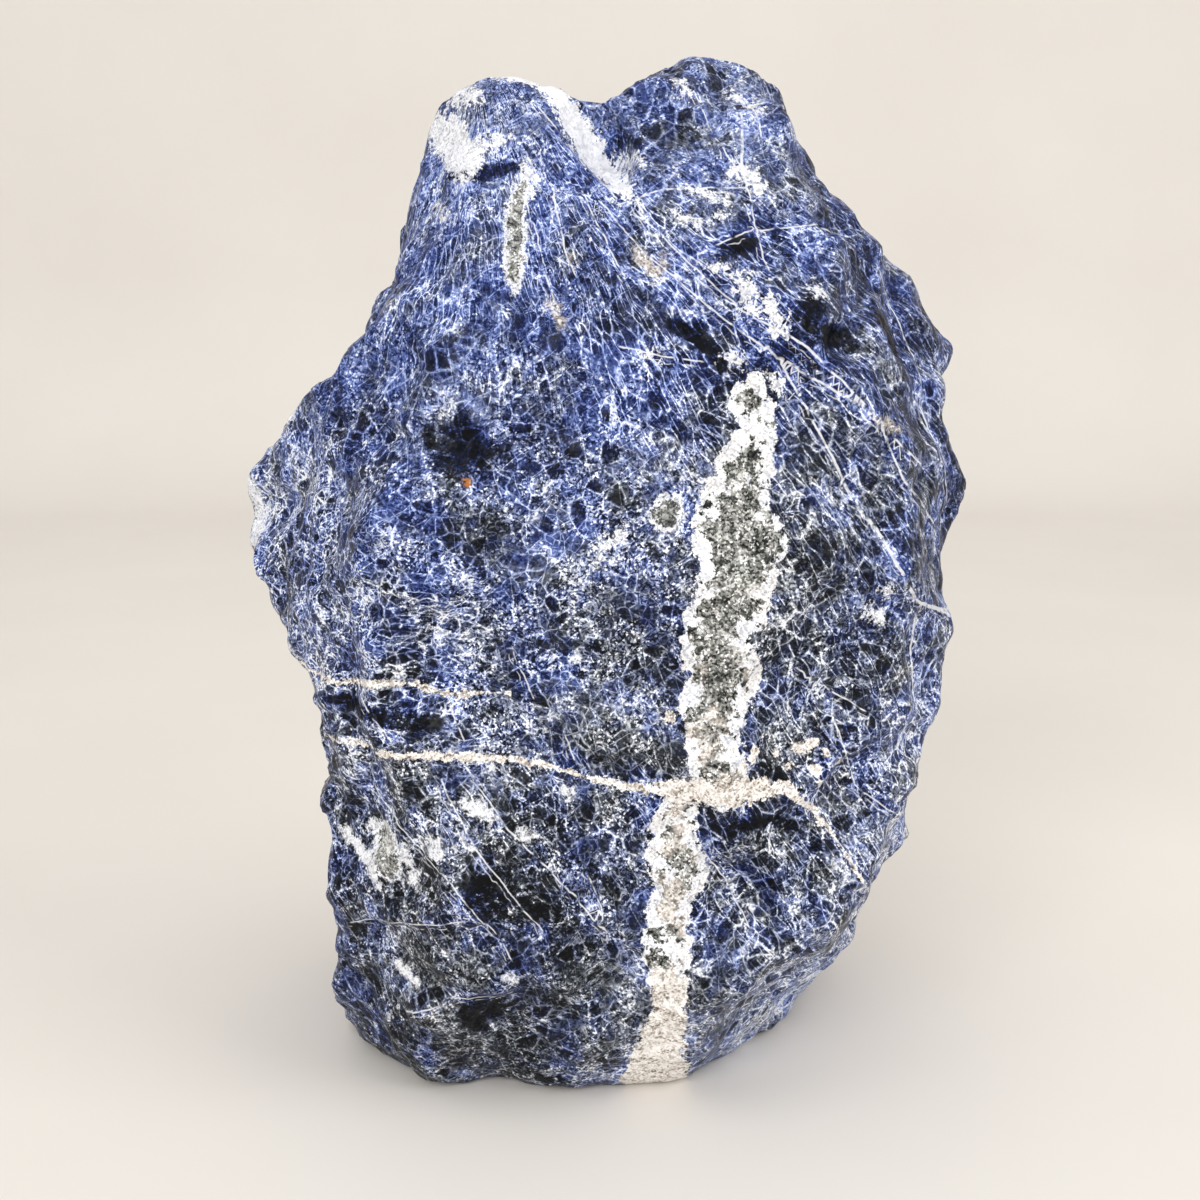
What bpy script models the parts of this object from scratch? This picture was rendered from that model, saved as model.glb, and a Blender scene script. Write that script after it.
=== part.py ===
"""Raw sodalite: one free-standing lump of blue rock, broken by hand on every side and standing on a flat foot.

The lump starts as a slab with the outline of its front. Cleavage planes break its faces off at an angle, scoops
take the conchoidal chips out, and the whole skin is then given the hackly relief of a fresh fracture.
+X is to the right of the broad front face, -Y is in front of it and +Z is up. The foot lies on z = 0.
"""

import math

import bmesh
import bpy
import numpy as np
from mathutils import Vector

MM = 0.001

# Driving sizes of the slab that the lump is broken from, in millimetres.
SLAB_TOP = 161.5
FRONT = -41.0
BACK = 37.0
BELOW_FOOT = -6.0

# Outline of the slab as (x, z) in millimetres, from the left end of the foot, over the top, to its right end.
OUTLINE = [
    (-42.0, BELOW_FOOT),
    (-45.5, 4.0),
    (-43.0, 14.0),
    (-40.5, 24.0),
    (-42.5, 38.0),
    (-45.0, 50.0),
    (-43.0, 60.0),
    (-46.5, 67.0),
    (-55.5, 77.0),
    (-65.0, 86.0),
    (-54.0, 97.5),
    (-49.5, 104.0),
    (-46.5, 107.5),
    (-41.0, 113.5),
    (-35.5, 119.0),
    (-31.3, 128.5),
    (-28.0, 140.0),
    (-30.0, 147.5),
    (-30.0, 151.5),
    (-27.0, 154.5),
    (-11.0, 155.0),
    (-5.0, 154.0),
    (-0.5, 152.2),
    (7.0, 155.5),
    (12.5, 158.5),
    (18.0, SLAB_TOP),
    (25.5, 160.5),
    (29.8, 154.0),
    (33.0, 145.0),
    (34.5, 141.5),
    (38.5, 135.0),
    (43.5, 128.5),
    (55.5, 122.0),
    (59.5, 117.0),
    (53.5, 104.5),
    (60.0, 92.5),
    (59.5, 86.0),
    (55.5, 75.0),
    (53.5, 66.0),
    (51.5, 55.0),
    (48.0, 45.0),
    (50.5, 36.0),
    (39.0, 28.0),
    (42.0, 19.5),
    (35.0, 8.0),
    (30.0, BELOW_FOOT),
]

# Cleavage planes: a point on each in millimetres, and the direction that it faces.
CLEAVAGES = {
    "front": ((0, -37, 40), (0.02, -0.99, 0.10)),
    "front_left": ((-30, -33, 70), (-0.38, -0.92, 0.05)),
    "front_right": ((30, -33, 60), (0.35, -0.93, 0.05)),
    "right_rim": ((50, -20, 62), (0.85, -0.52, 0.02)),
    "upper_right": ((43, -22, 116), (0.50, -0.74, 0.44)),
    "upper_front": ((0, -27, 125), (-0.05, -0.88, 0.47)),
    "knob_front": ((18, -15, 146), (0.18, -0.80, 0.57)),
    "knob_right": ((31, -4, 149), (0.80, -0.38, 0.46)),
    "peak_front": ((-15, -19, 142), (-0.28, -0.85, 0.45)),
    "peak_left": ((-31, -14, 144), (-0.78, -0.58, 0.22)),
    "peak_top": ((-14, -6, 155.5), (-0.10, -0.35, 0.93)),
    "shoulder": ((-42, -15, 109), (-0.66, -0.62, 0.42)),
    "left_bulge": ((-57, -16, 86), (-0.90, -0.42, 0.12)),
    "left_waist": ((-46, -20, 60), (-0.66, -0.75, -0.03)),
    "left_heel": ((-38.5, -18, 6), (-0.60, -0.68, -0.42)),
    "front_heel": ((-5, -33, 13), (-0.05, -0.88, -0.48)),
    "right_heel": ((31, -11, 5), (0.60, -0.56, -0.57)),
    "right_flank": ((49.5, -17, 36), (0.79, -0.54, -0.28)),
    "back": ((0, 34, 70), (0.08, 0.99, 0.08)),
    "back_left": ((-44, 24, 66), (-0.66, 0.74, 0.10)),
    "back_right": ((43, 22, 60), (0.70, 0.71, -0.04)),
    "back_upper": ((0, 23, 124), (-0.15, 0.82, 0.55)),
    "back_shoulder": ((-38, 14, 120), (-0.60, 0.66, 0.42)),
    "back_knob": ((42, 15, 127), (0.55, 0.66, 0.50)),
    "back_heel": ((0, 31, 10), (0.10, 0.93, -0.36)),
}

# Scoops: the middle and the three half-sizes of each, in millimetres, and its turn about Y in degrees.
SCOOPS = {
    "saddle_groove": ((-1.0, -19, 147), (3.2, 11, 12), -36),
    "peak_ledge": ((-18, -29, 136), (10, 7, 4.5), -6),
    "dark_hollow": ((-24, -42, 98), (8, 9, 8), 0),
    "heel_chip_high": ((-17, -45.5, 29), (7, 9, 6.5), 0),
    "heel_chip_low": ((-17.5, -38, 8), (7.5, 8, 6), 0),
    "streak_hollow": ((16, -36, 121), (12, 10, 5.5), -28),
    "right_hollow": ((37, -31, 117), (6, 9, 5.5), 0),
    "lower_right_hollow": ((23, -45, 36), (12, 12, 14), 0),
    "toe_undercut": ((-7, -35, -4), (17, 8, 6.5), 0),
    "back_bite": ((-12, 48, 92), (24, 20, 28), 15),
    "back_low_bite": ((22, 44, 30), (20, 17, 18), 0),
}

# Hackly relief, from broad flats to small ones: the size of a flat, how far it stands out or in, both in
# millimetres, and the seed of its scatter.
FLATS = [
    (34.0, 3.6, 23),
    (15.0, 2.9, 5),
    (7.0, 1.5, 8),
]
SHARPNESS = 16.0
WOBBLE_SIZE = 9.0
WOBBLE = 2.5

VOXEL = 1.7
MOST_TRIANGLES = 9500
FOOT_SIZE = 200.0
SODALITE_BLUE = (0.16, 0.19, 0.30, 1.0)


def clear_scene():
    """Removes what the startup file holds."""
    for obj in list(bpy.data.objects):
        bpy.data.objects.remove(obj)


def new_collection(name):
    """A collection linked to the scene."""
    made = bpy.data.collections.new(name)
    bpy.context.scene.collection.children.link(made)
    return made


def applied(obj, name):
    """A new mesh object with obj's modifiers applied and its place in its mesh. The old object is removed."""
    bpy.context.view_layer.update()
    graph = bpy.context.evaluated_depsgraph_get()
    mesh = bpy.data.meshes.new_from_object(obj.evaluated_get(graph))
    mesh.transform(obj.matrix_world)
    home = obj.users_collection[0]
    bpy.data.objects.remove(obj)
    made = bpy.data.objects.new(name, mesh)
    home.objects.link(made)
    return made


def slab(home):
    """The slab: its outline, a flat curve stood upright, extruded from front to back."""
    outline = bpy.data.curves.new("slab_outline", "CURVE")
    outline.dimensions = "2D"
    outline.fill_mode = "BOTH"
    outline.extrude = (BACK - FRONT) / 2 * MM
    spline = outline.splines.new("POLY")
    spline.points.add(len(OUTLINE) - 1)
    for point, (x, z) in zip(spline.points, OUTLINE, strict=True):
        point.co = (x * MM, z * MM, 0, 1)
    spline.use_cyclic_u = True
    obj = bpy.data.objects.new("slab", outline)
    obj.rotation_euler.x = math.radians(90)
    obj.location.y = (FRONT + BACK) / 2 * MM
    home.objects.link(obj)
    return applied(obj, "slab")


def cleave(obj):
    """Breaks the slab along every cleavage plane and closes each cut."""
    bm = bmesh.new()
    bm.from_mesh(obj.data)
    bmesh.ops.remove_doubles(bm, verts=bm.verts, dist=0.01 * MM)
    for point, facing in CLEAVAGES.values():
        cut = bmesh.ops.bisect_plane(
            bm,
            geom=bm.verts[:] + bm.edges[:] + bm.faces[:],
            dist=0.001 * MM,
            plane_co=Vector(point) * MM,
            plane_no=Vector(facing).normalized(),
            clear_outer=True,
        )
        rim = [item for item in cut["geom_cut"] if isinstance(item, bmesh.types.BMEdge)]
        bmesh.ops.triangle_fill(bm, use_beauty=True, edges=rim)
    bmesh.ops.recalc_face_normals(bm, faces=bm.faces)
    bm.to_mesh(obj.data)
    bm.free()


def scoop(name, middle, half_sizes, turn, home):
    """One scoop: a ball stretched to its half-sizes and turned about Y."""
    bpy.ops.mesh.primitive_uv_sphere_add(segments=32, ring_count=16, radius=MM)
    ball = bpy.context.object
    ball.name = name
    ball.scale = half_sizes
    ball.rotation_euler.y = math.radians(turn)
    ball.location = Vector(middle) * MM
    as_cutter(ball, home)
    return ball


def as_cutter(obj, home):
    """Keeps obj out of the render, drawn as a wire, in the cutters' collection."""
    for old in list(obj.users_collection):
        old.objects.unlink(obj)
    home.objects.link(obj)
    obj.hide_render = True
    obj.display_type = "WIRE"


def cut_away(obj, cutter):
    """Takes the cutter's shape out of obj."""
    cut = obj.modifiers.new(cutter.name, "BOOLEAN")
    cut.operation = "DIFFERENCE"
    cut.object = cutter


def hashed(corners, seed):
    """Three numbers from 0 to 1 for each whole-numbered corner: its coordinates are multiplied by primes, joined
    and stirred with shifts, so that the same corner and seed give the same numbers."""
    c = corners.astype(np.int64).astype(np.uint32)
    mixed = (c[..., 0] * np.uint32(73856093)) ^ (c[..., 1] * np.uint32(19349663)) ^ (c[..., 2] * np.uint32(83492791))
    found = []
    for turn in range(3):
        h = mixed ^ np.uint32(seed * 7919 + turn * 104729 + 1)
        for shift, prime in ((16, 2246822519), (13, 3266489917), (16, 668265263)):
            h = (h ^ (h >> np.uint32(shift))) * np.uint32(prime)
        found.append((h ^ (h >> np.uint32(15))).astype(np.float64) / 2**32)
    return np.stack(found, axis=-1)


def facets(points, size, seed):
    """Hackly facets: space is parted into cells round scattered middles, and each cell has a flat of its own, tilted
    at random. The value is the height of that flat, from about -1 to 1, at each point. Two flats meet in a narrow
    slope, because each counts with the weight exp(-SHARPNESS * squared distance to its middle)."""
    scaled = points / size
    base = np.floor(scaled)
    total = np.zeros(len(points))
    weights = np.zeros(len(points))
    for step in np.ndindex(3, 3, 3):
        corner = base + np.array(step) - 1
        away = scaled - (corner + hashed(corner, seed))
        tilt = hashed(corner, seed + 1) * 2 - 1
        weight = np.exp(-SHARPNESS * (away**2).sum(axis=1))
        total += weight * (away * tilt).sum(axis=1)
        weights += weight
    return total / weights


def swell(points, size, seed):
    """Smooth swells: numbers from -1 to 1 on a grid of corners, blended between them by 3t^2 - 2t^3."""
    scaled = points / size
    base = np.floor(scaled)
    share = scaled - base
    share = share * share * (3 - 2 * share)
    total = np.zeros(len(points))
    for step in np.ndindex(2, 2, 2):
        side = np.array(step)
        weight = np.where(side, share, 1 - share).prod(axis=1)
        total += weight * (hashed(base + side, seed)[:, 0] * 2 - 1)
    return total


def roughen(obj):
    """Moves every vertex along its normal by the relief of a fresh fracture."""
    count = len(obj.data.vertices)
    points = np.empty(count * 3)
    normals = np.empty(count * 3)
    obj.data.vertices.foreach_get("co", points)
    obj.data.vertices.foreach_get("normal", normals)
    points = points.reshape(-1, 3) / MM
    normals = normals.reshape(-1, 3)
    wobble = np.stack([swell(points, WOBBLE_SIZE, seed) for seed in (11, 12, 13)], axis=1)
    relief = sum(height * facets(points + WOBBLE * wobble, size, seed) for size, height, seed in FLATS)
    moved = points + normals * relief[:, None]
    obj.data.vertices.foreach_set("co", (moved * MM).ravel())
    obj.data.update()


def wear(obj, rounds):
    """Wears the edges, by moving each vertex halfway to the middle of its neighbours."""
    worn = obj.modifiers.new("worn_edges", "SMOOTH")
    worn.factor = 0.5
    worn.iterations = rounds


def remeshed(obj):
    """The broken slab as an even skin of small quads, with its edges worn."""
    skin = obj.modifiers.new("even_skin", "REMESH")
    skin.mode = "VOXEL"
    skin.voxel_size = VOXEL * MM
    wear(obj, 2)
    return applied(obj, "skin")


def thinned(obj):
    """The skin, worn once more, with its flat places drawn in fewer triangles and its ridges kept."""
    wear(obj, 1)
    obj.data.calc_loop_triangles()
    thin = obj.modifiers.new("fewer_triangles", "DECIMATE")
    thin.ratio = MOST_TRIANGLES / len(obj.data.loop_triangles)
    return applied(obj, "thinned")


def flat_foot(obj, cutters):
    """Cuts the lump off flat at the surface that it stands on."""
    bpy.ops.mesh.primitive_cube_add(size=FOOT_SIZE * MM, location=(0, 0, -FOOT_SIZE / 2 * MM))
    ground = bpy.context.object
    ground.name = "ground"
    as_cutter(ground, cutters)
    cut_away(obj, ground)
    return applied(obj, "sodalite")


def centred(obj):
    """Moves the lump in its mesh so that the middle of its bounding box is over the origin."""
    corners = np.array([vertex.co for vertex in obj.data.vertices])
    middle = (corners.min(axis=0) + corners.max(axis=0)) / 2
    for vertex in obj.data.vertices:
        vertex.co.x -= middle[0]
        vertex.co.y -= middle[1]


def finish(obj):
    """The stone's material, and creases only where the fracture turns sharply."""
    stone = bpy.data.materials.new("sodalite")
    stone.use_nodes = True
    surface = stone.node_tree.nodes["Principled BSDF"]
    surface.inputs["Base Color"].default_value = SODALITE_BLUE
    surface.inputs["Roughness"].default_value = 0.55
    surface.inputs["Metallic"].default_value = 0.0
    obj.data.materials.clear()
    obj.data.materials.append(stone)
    obj.data.shade_smooth()
    obj.data.set_sharp_from_angle(angle=math.radians(35))


clear_scene()
specimen = new_collection("raw_sodalite")
cutters = new_collection("cutters")
lump = slab(specimen)
cleave(lump)
for scoop_name, (middle, half_sizes, turn) in SCOOPS.items():
    cut_away(lump, scoop(scoop_name, middle, half_sizes, turn, cutters))
lump = remeshed(lump)
roughen(lump)
lump = thinned(lump)
lump = flat_foot(lump, cutters)
centred(lump)
finish(lump)
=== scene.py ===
"""Raw sodalite, dressed: the lump of blue rock on a pale table in soft studio light.

The frame gives the broken solid. The stone's skin is drawn on it as one fine grid, gets the relief of the
fracture and carries its veins as distances, which the shader turns into colour. The stone's sizes are in
millimetres, times MM where they reach Blender. The table's and the lamps' are in metres and watts.
"""

import math

import bmesh
import bpy
import numpy as np
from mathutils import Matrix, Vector


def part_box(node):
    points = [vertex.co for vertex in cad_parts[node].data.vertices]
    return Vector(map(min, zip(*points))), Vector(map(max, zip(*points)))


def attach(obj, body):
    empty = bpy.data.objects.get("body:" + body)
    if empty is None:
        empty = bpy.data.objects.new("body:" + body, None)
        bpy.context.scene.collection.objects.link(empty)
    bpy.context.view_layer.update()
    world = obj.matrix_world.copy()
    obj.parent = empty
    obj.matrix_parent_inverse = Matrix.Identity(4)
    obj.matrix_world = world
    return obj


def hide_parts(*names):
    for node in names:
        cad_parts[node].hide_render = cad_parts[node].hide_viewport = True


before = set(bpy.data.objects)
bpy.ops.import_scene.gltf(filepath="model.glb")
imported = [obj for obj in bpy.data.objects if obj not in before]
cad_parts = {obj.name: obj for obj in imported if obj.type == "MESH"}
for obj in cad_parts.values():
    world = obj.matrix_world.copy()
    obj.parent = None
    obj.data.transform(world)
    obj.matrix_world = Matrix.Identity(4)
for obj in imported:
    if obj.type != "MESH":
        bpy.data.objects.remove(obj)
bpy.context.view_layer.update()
MM = 0.001

# The stone. One lump of raw sodalite rock: dark blue grains in a net of white veins, with a grey band and a
# cream vein grown through it, broken on every side. It stands on a flat foot, held by nothing. Its skin is a
# closed grid whose points run out from a plate inside the stone until they meet the broken solid.
AROUND = 400
UP = 244
LOW, HIGH = (np.array(corner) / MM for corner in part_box("sodalite"))
ENVELOPE_POWER = 4.0
ENVELOPE_DRAWN = 4000
FOOT_ROW_SHARE = 0.3
TOP_ROW_SHARE = 0.8
TAPER_FROM = 95.0
TAPER = 0.45
PLATE_HALF_LENGTH = 30.0
PLATE_LOW = 30.0
PLATE_HIGH = 122.0
PLATE_THICKNESS = 4.0
SKIN_SMOOTHING = 4


def evenly(curve, weights, count):
    """count + 1 points along a densely drawn curve, at even steps of its length times the weights."""
    steps = np.linalg.norm(np.diff(curve, axis=0), axis=1) * weights
    along = np.concatenate([[0.0], np.cumsum(steps)])
    stops = np.linspace(0.0, along[-1], count + 1)
    return np.stack([np.interp(stops, along, axis) for axis in curve.T], axis=1)


def rounded(angles):
    """Points of the curve |a|^p + |b|^p = 1 at these angles: a is the signed cosine to the power 2/p, and b
    the signed sine to it."""
    power = 2.0 / ENVELOPE_POWER
    cosine, sine = np.cos(angles), np.sin(angles)
    first = np.sign(cosine) * np.abs(cosine) ** power
    second = np.sign(sine) * np.abs(sine) ** power
    return np.stack([first, second], axis=1)


def seed_shell():
    """The grid that the skin grows from. A row is a height on the rounded profile of the stone's box and a
    column is a place round it, which gives a point of the envelope. The plate is the upright rectangle inside
    the stone. The seed's point is the nearest point of the plate to the envelope's, moved towards it by the
    plate's thickness."""
    half = (HIGH - LOW) / 2
    middle = (HIGH + LOW) / 2
    profile = rounded(np.linspace(-math.pi / 2, math.pi / 2, ENVELOPE_DRAWN)) * [half[0], half[2]]
    slope = np.linspace(-1.0, 1.0, ENVELOPE_DRAWN - 1)
    weights = np.where(slope < -0.5, FOOT_ROW_SHARE, np.where(slope > 0.5, TOP_ROW_SHARE, 1.0))
    profile = evenly(profile, weights, UP)[1:-1]
    ring = rounded(np.linspace(0.0, 2 * math.pi, ENVELOPE_DRAWN)) * half[:2]
    ring = evenly(ring, 1.0, AROUND)[:-1]
    spread = profile[:, 0] / half[0]
    height = profile[:, 1] + middle[2]
    spread = spread * (1.0 - TAPER * np.clip((height - TAPER_FROM) / (HIGH[2] - TAPER_FROM), 0.0, 1.0))
    out = np.empty((UP - 1, AROUND, 3))
    out[..., 0] = middle[0] + spread[:, None] * ring[None, :, 0]
    out[..., 1] = middle[1] + spread[:, None] * ring[None, :, 1]
    out[..., 2] = height[:, None]
    poles = np.array([[middle[0], middle[1], LOW[2]], [middle[0], middle[1], HIGH[2]]])
    out = np.concatenate([out.reshape(-1, 3), poles])
    core = np.stack(
        [
            np.clip(out[:, 0], -PLATE_HALF_LENGTH, PLATE_HALF_LENGTH),
            np.zeros(len(out)),
            np.clip(out[:, 2], PLATE_LOW, PLATE_HIGH),
        ],
        axis=1,
    )
    away = out - core
    away /= np.linalg.norm(away, axis=1, keepdims=True)
    return core + PLATE_THICKNESS * away


def grid_faces():
    """Four-cornered faces between neighbouring rows and columns, the last column joined to the first, and
    three-cornered ones from the lowest and the highest row to their poles."""
    index = np.arange((UP - 1) * AROUND).reshape(UP - 1, AROUND)
    right = np.roll(index, -1, axis=1)
    quads = np.stack([index[:-1], right[:-1], right[1:], index[1:]], axis=-1).reshape(-1, 4)
    foot = np.stack([right[0], index[0], np.full(AROUND, index.size)], axis=-1)
    peak = np.stack([index[-1], right[-1], np.full(AROUND, index.size + 1)], axis=-1)
    return quads.tolist() + foot.tolist() + peak.tolist()


def applied(obj):
    """obj with its modifiers applied to its mesh."""
    graph = bpy.context.evaluated_depsgraph_get()
    finished = bpy.data.meshes.new_from_object(obj.evaluated_get(graph))
    obj.modifiers.clear()
    obj.data = finished
    return obj


def merged_solid(node):
    """A copy of a node of the frame with its loose triangles joined."""
    joined = bmesh.new()
    joined.from_mesh(node.data)
    bmesh.ops.remove_doubles(joined, verts=joined.verts, dist=0.01 * MM)
    mesh = bpy.data.meshes.new("solid")
    joined.to_mesh(mesh)
    joined.free()
    solid = bpy.data.objects.new("solid", mesh)
    bpy.context.scene.collection.objects.link(solid)
    return solid


skin_mesh = bpy.data.meshes.new("sodalite_stone")
skin_mesh.from_pydata((seed_shell() * MM).tolist(), [], grid_faces())
stone = bpy.data.objects.new("sodalite_stone", skin_mesh)
bpy.context.scene.collection.objects.link(stone)
solid = merged_solid(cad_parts["sodalite"])
grown = stone.modifiers.new("out_to_the_solid", "SHRINKWRAP")
grown.target = solid
grown.wrap_method = "PROJECT"
grown.use_negative_direction = False
grown.use_positive_direction = True
worn = stone.modifiers.new("worn", "SMOOTH")
worn.factor = 0.5
worn.iterations = SKIN_SMOOTHING
applied(stone)
bpy.data.objects.remove(solid)


def read(mesh, name):
    """A mesh's points or normals as rows of three."""
    values = np.empty(len(mesh.vertices) * 3, dtype=np.float32)
    mesh.vertices.foreach_get(name, values)
    return values.reshape(-1, 3).astype(np.float64)


# The stone's relief. Fresh sodalite breaks along hackly flats, so space is parted into cells of two sizes and
# each cell has a flat of its own tilt. Pits and a fine grain lie over them, and low ledges cross the front,
# drawn as lines of (x, z) with their height there. The grid moves in or out along its normals.
FLATS = [
    (8.0, 0.6, 41),
    (3.0, 0.38, 42),
]
WOBBLE = 1.2
WOBBLE_SIZE = 4.0
GRAIN_SIZE = 1.3
GRAIN_RELIEF = 0.14
PIT_SIZE = 8.0
PIT_DEPTH = 0.8
PIT_SPREAD = (0.45, 0.85)
INWARD = 0.35
RELIEF_SMOOTHING = 2
FOOT_FADE = (0.0, 2.0)
POLE_FADE = (1.5, 6.0)
LEDGES = [
    [(-27.0, 140.0, 0.5), (-22.5, 139.6, 1.4), (-18.0, 140.4, 1.6), (-13.5, 142.3, 1.0), (-11.0, 143.5, 0.3)],
    [
        (-40.0, 26.5, 0.4),
        (-30.0, 30.5, 1.3),
        (-20.0, 32.0, 1.4),
        (-8.0, 33.0, 1.3),
        (2.0, 30.0, 1.3),
        (9.0, 25.5, 0.6),
    ],
    [(-38.0, 21.0, 0.5), (-29.0, 14.5, 1.3), (-21.5, 11.5, 1.3), (-14.0, 10.5, 0.5)],
    [(10.0, 120.5, 0.4), (16.0, 118.5, 1.2), (24.0, 116.5, 1.2), (34.0, 112.0, 0.4)],
    [(14.0, 133.5, 0.4), (21.0, 135.5, 1.2), (31.0, 136.0, 1.0), (38.0, 134.0, 0.4)],
    [(-46.0, 61.5, 0.4), (-34.0, 61.5, 1.0), (-24.0, 60.5, 1.0), (-16.0, 59.5, 0.3)],
]
LEDGE_REACH = 7.0
LEDGE_DROP = 0.7
LEDGE_FADE = (4.0, 14.0)
PLAIN_HALF_WIDTH = 0.08


def hashed(corners, seed):
    """Three numbers from 0 to 1 for each whole-numbered corner: its coordinates times primes, joined and
    stirred with shifts."""
    whole = corners.astype(np.int64).astype(np.uint32)
    joined = whole[..., 0] * np.uint32(73856093)
    joined = joined ^ (whole[..., 1] * np.uint32(19349663)) ^ (whole[..., 2] * np.uint32(83492791))
    found = []
    for turn in range(3):
        h = joined ^ np.uint32(seed * 7919 + turn * 104729 + 1)
        for shift, prime in ((16, 2246822519), (13, 3266489917), (16, 668265263)):
            h = (h ^ (h >> np.uint32(shift))) * np.uint32(prime)
        found.append((h ^ (h >> np.uint32(15))).astype(np.float64) / 2**32)
    return np.stack(found, axis=-1)


def flats(points, size, seed):
    """The height of the tilted flat at each point, from about -1 to 1: the way from the nearest cell's middle
    times that cell's random tilt."""
    scaled = points / size
    base = np.floor(scaled)
    nearest = np.full(len(points), np.inf)
    height = np.zeros(len(points))
    for step in np.ndindex(3, 3, 3):
        corner = base + np.array(step) - 1
        away = scaled - (corner + hashed(corner, seed))
        distance = (away**2).sum(axis=1)
        tilt = hashed(corner, seed + 1) * 2 - 1
        closer = distance < nearest
        nearest = np.where(closer, distance, nearest)
        height = np.where(closer, (away * tilt).sum(axis=1), height)
    return height


def swell(points, size, seed):
    """Smooth swells: numbers from -1 to 1 on a grid of corners, blended between them by 3t^2 - 2t^3."""
    scaled = points / size
    base = np.floor(scaled)
    share = scaled - base
    share = share * share * (3 - 2 * share)
    total = np.zeros(len(points))
    for step in np.ndindex(2, 2, 2):
        side = np.array(step)
        weight = np.where(side, share, 1 - share).prod(axis=1)
        total += weight * (hashed(base + side, seed)[:, 0] * 2 - 1)
    return total


def eased(value, low, high):
    """0 below low, 1 above high and 3t^2 - 2t^3 between."""
    share = np.clip((value - low) / (high - low), 0.0, 1.0)
    return share * share * (3 - 2 * share)


def beside(x, z, lines):
    """Of the nearest bent line: how far off to one side of it each point is, less than 0 on the left of its
    run, how far away the line is, and its third number there, such as its half width. A point is set against
    each stretch of a line in turn."""
    side = np.zeros(len(x))
    away = np.full(len(x), np.inf)
    width = np.zeros(len(x))
    for line in lines:
        line = np.array([point if len(point) == 3 else (*point, PLAIN_HALF_WIDTH) for point in line])
        for (x0, z0, w0), (x1, z1, w1) in zip(line[:-1], line[1:], strict=True):
            run = np.array([x1 - x0, z1 - z0])
            share = np.clip(((x - x0) * run[0] + (z - z0) * run[1]) / (run @ run), 0.0, 1.0)
            distance = np.hypot(x - x0 - share * run[0], z - z0 - share * run[1])
            offset = ((x - x0) * run[1] - (z - z0) * run[0]) / np.hypot(*run)
            closer = distance < away
            side = np.where(closer, offset, side)
            away = np.where(closer, distance, away)
            width = np.where(closer, w0 + share * (w1 - w0), width)
    return side, away, width


points = read(stone.data, "co") / MM
normals = read(stone.data, "normal")
wobbled = points + WOBBLE * np.stack([swell(points, WOBBLE_SIZE, seed) for seed in (51, 52, 53)], axis=1)
relief = sum(height * flats(wobbled, size, seed) for size, height, seed in FLATS)
relief += GRAIN_RELIEF * swell(points, GRAIN_SIZE, 61)
relief -= PIT_DEPTH * eased(swell(wobbled, PIT_SIZE, 62), *PIT_SPREAD)
relief -= INWARD
drop, away, lip = beside(points[:, 0], points[:, 2], LEDGES)
lip = lip * np.exp(-((away / LEDGE_REACH) ** 2)) * (1.0 - eased(drop, -LEDGE_DROP, LEDGE_DROP))
relief += lip * eased(-points[:, 1], *LEDGE_FADE)
off_foot = eased(points[:, 2], *FOOT_FADE)
off_pole = eased(np.hypot(points[:, 0], points[:, 1]), *POLE_FADE)
points += normals * (relief * off_foot * off_pole)[:, None]
stone.data.vertices.foreach_set("co", (points * MM).astype(np.float32).ravel())
softened = stone.modifiers.new("softened", "SMOOTH")
softened.factor = 0.5
softened.iterations = RELIEF_SMOOTHING
applied(stone)
points = np.clip(read(stone.data, "co") / MM, LOW, HIGH)
stone.data.vertices.foreach_set("co", (points * MM).astype(np.float32).ravel())
stone.data.update()
stone.data.shade_smooth()

# The stone's veins and patches. Each is a line or a spot on the broad front, in millimetres (x, z) with its
# half width, and goes through the stone from front to back like the real sheets do, wandering as it goes. The
# skin stores how far each of its points lies from them, in millimetres and less than 0 inside. The shadow
# strokes and the shaded hollows among them are painted shade, not the rock's own colour.
WANDER_SPREAD = (-22.0, 12.0)
WANDER = 9.0
WANDER_SIZE = 30.0
GREY_BAND = [
    (22.0, 112.5, 1.2),
    (21.5, 109.0, 3.0),
    (22.5, 104.5, 2.4),
    (21.0, 100.5, 4.6),
    (20.0, 97.0, 4.4),
    (19.5, 93.0, 5.8),
    (20.0, 89.0, 6.6),
    (19.8, 85.0, 5.8),
    (19.5, 81.0, 5.4),
    (17.0, 77.5, 5.0),
    (16.8, 74.0, 5.2),
    (18.0, 70.0, 5.6),
    (17.0, 66.5, 5.0),
    (16.0, 62.0, 4.3),
    (16.5, 57.5, 3.9),
    (17.5, 54.0, 4.3),
]
LOW_BAND = [
    (11.2, 51.0, 2.6),
    (11.0, 47.0, 3.2),
    (11.2, 42.5, 4.2),
    (11.8, 40.0, 4.2),
    (11.2, 36.0, 3.5),
    (10.2, 33.0, 3.4),
    (10.2, 29.5, 3.8),
    (9.8, 26.5, 3.4),
    (10.3, 22.5, 2.8),
    (10.2, 18.0, 2.6),
    (9.8, 13.0, 3.2),
    (9.2, 8.0, 4.2),
    (8.5, 2.0, 5.0),
]
CALCITE_POINTS = 5
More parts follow.
